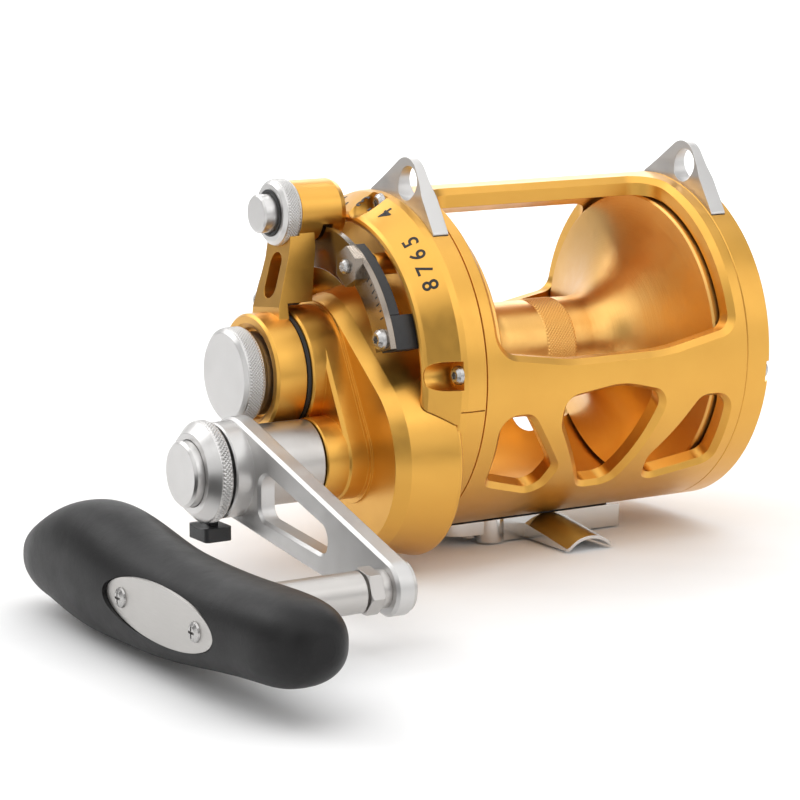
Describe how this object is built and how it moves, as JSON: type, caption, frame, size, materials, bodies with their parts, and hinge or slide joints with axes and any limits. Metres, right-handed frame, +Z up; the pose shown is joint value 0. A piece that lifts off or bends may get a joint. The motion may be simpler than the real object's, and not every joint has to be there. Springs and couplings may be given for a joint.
{
  "type": "trolling reel",
  "caption": "Two-speed lever-drag trolling reel with a windowed tubular frame, wide spool, gear housing, drag lever and a crank arm with a T-shaped grip.",
  "frame": {"origin": "middle of the rod seat, on the plane of the saddle's lower edges under the foot", "axes": "+X along the spool axis towards the off side, so the crank is at -X; -Y forward to the rod tip; +Z up, away from the rod"},
  "size_m": [0.253, 0.2246, 0.1256],
  "materials": {
    "gold": "gold anodised, satin, machined",
    "silver": "clear anodised, bead blasted",
    "foot_metal": "polished",
    "stainless": "brushed",
    "gear_steel": "machined, oiled",
    "spring_steel": "drawn wire",
    "bearing_steel": "ground",
    "bronze": "sintered, oiled",
    "carbon": "woven carbon, matte",
    "black_plastic": "fine matte",
    "black_rubber": "soft matte"
  },
  "bodies": {
    "reel": {"frame": "gold", "handle_side_plate": "gold", "gear_cover": "gold", "cover_screws": "stainless", "off_side_plate": "gold", "plate_screws": "stainless", "harness_lug_crank_side": "silver", "harness_lug_off_side": "silver", "foot": "foot_metal", "foot_gasket": "black_rubber", "foot_screws": "stainless", "spool_shaft": "stainless", "pinion_bearing": "bearing_steel", "crank_bearings": "bearing_steel", "inner_bush": "bronze", "cam_follower": "gear_steel", "quadrant": "stainless", "quadrant_strip": "black_plastic", "quadrant_stops": "black_plastic", "quadrant_spacers": "black_plastic", "quadrant_screws": "stainless", "strike_stop": "gear_steel", "strike_stop_screw": "stainless", "dog_pins": "stainless", "preset_springs": "spring_steel"},
    "spool": {"spool": "gold", "spool_bearings": "bearing_steel", "brake_disc": "gear_steel", "click_ratchet": "gear_steel"},
    "pinion": {"pinion": "gear_steel", "drag_rotor": "gear_steel", "drag_washer": "carbon"},
    "crank": {"high_speed_gear": "gear_steel", "crank_shaft": "stainless", "crank_sleeve": "stainless", "crank_arm": "silver", "crank_nut": "silver", "grip_spindle": "stainless", "spindle_nut": "stainless", "spindle_bush": "stainless", "shift_spring": "spring_steel"},
    "low_gear": {"low_speed_gear": "gear_steel"},
    "shift": {"shift_button": "silver", "shift_key": "gear_steel"},
    "release": {"release_tab": "black_plastic"},
    "grip": {"grip": "black_rubber", "grip_core": "black_plastic", "grip_plate": "stainless", "grip_screws": "stainless"},
    "lever": {"drag_lever": "gold", "lever_cap": "silver", "lever_cam": "gear_steel", "lever_seal_ring": "black_rubber", "lever_spring": "spring_steel"},
    "lever_button": {"lever_button": "silver"},
    "preset": {"preset_knob": "silver"},
    "dog_a": {"dog_a": "gear_steel"},
    "dog_b": {"dog_b": "gear_steel"},
    "click": {"click_button": "silver", "click_tongue": "gear_steel"}
  },
  "joints": [
    {"name": "handle_spin", "type": "hinge", "parent": "reel", "child": "crank", "pos_m": [-0.09, -0.02014, 0.03565], "axis": [1, 0, 0], "continuous": true},
    {"name": "grip_spin", "type": "hinge", "parent": "crank", "child": "grip", "pos_m": [-0.15, -0.10814, 0.01727], "axis": [1, 0, 0], "continuous": true},
    {"name": "pinion_spin", "type": "hinge", "parent": "reel", "child": "pinion", "pos_m": [-0.055, 0, 0.06], "axis": [1, 0, 0], "continuous": true},
    {"name": "low_gear_spin", "type": "hinge", "parent": "reel", "child": "low_gear", "pos_m": [-0.056, -0.02014, 0.03565], "axis": [1, 0, 0], "continuous": true},
    {"name": "spool_spin", "type": "hinge", "parent": "reel", "child": "spool", "pos_m": [0, 0, 0.06], "axis": [1, 0, 0], "continuous": true},
    {"name": "drag_lever", "type": "hinge", "parent": "reel", "child": "lever", "pos_m": [-0.09, 0, 0.06], "axis": [1, 0, 0], "range_deg": [-40, 19]},
    {"name": "preset_turn", "type": "hinge", "parent": "reel", "child": "preset", "pos_m": [-0.105, 0, 0.06], "axis": [1, 0, 0], "range_deg": [-150, 150]},
    {"name": "dog_a_swing", "type": "hinge", "parent": "reel", "child": "dog_a", "pos_m": [-0.048, 0.0213, 0.09689], "axis": [1, 0, 0], "range_deg": [-8, 0], "stiffness_Nm_per_rad": 0.02},
    {"name": "dog_b_swing", "type": "hinge", "parent": "reel", "child": "dog_b", "pos_m": [-0.048, -0.0213, 0.02311], "axis": [1, 0, 0], "range_deg": [-8, 0], "stiffness_Nm_per_rad": 0.02},
    {"name": "shift_press", "type": "slide", "parent": "crank", "child": "shift", "axis": [1, 0, 0], "range_m": [0, 0.0044], "stiffness_N_per_m": 700, "springref_m": -0.001, "deforming": ["shift_spring"]},
    {"name": "release_press", "type": "slide", "parent": "crank", "child": "release", "axis": [0, 0, 1], "range_m": [0, 0.0014], "stiffness_N_per_m": 500, "springref_m": -0.001},
    {"name": "lever_button_press", "type": "slide", "parent": "lever", "child": "lever_button", "axis": [1, 0, 0], "range_m": [0, 0.0025], "stiffness_N_per_m": 600, "springref_m": -0.001, "deforming": ["lever_spring"]},
    {"name": "click_slide", "type": "slide", "parent": "reel", "child": "click", "axis": [0, -0.5, -0.866], "range_m": [0, 0.0029]}
  ],
  "couplings": [
    {"joint": "pinion_spin", "follows": "handle_spin", "ratio": -3.6471},
    {"joint": "low_gear_spin", "follows": "handle_spin", "ratio": 2.1153},
    {"joint": "spool_spin", "follows": "handle_spin", "ratio": -3.6471}
  ]
}
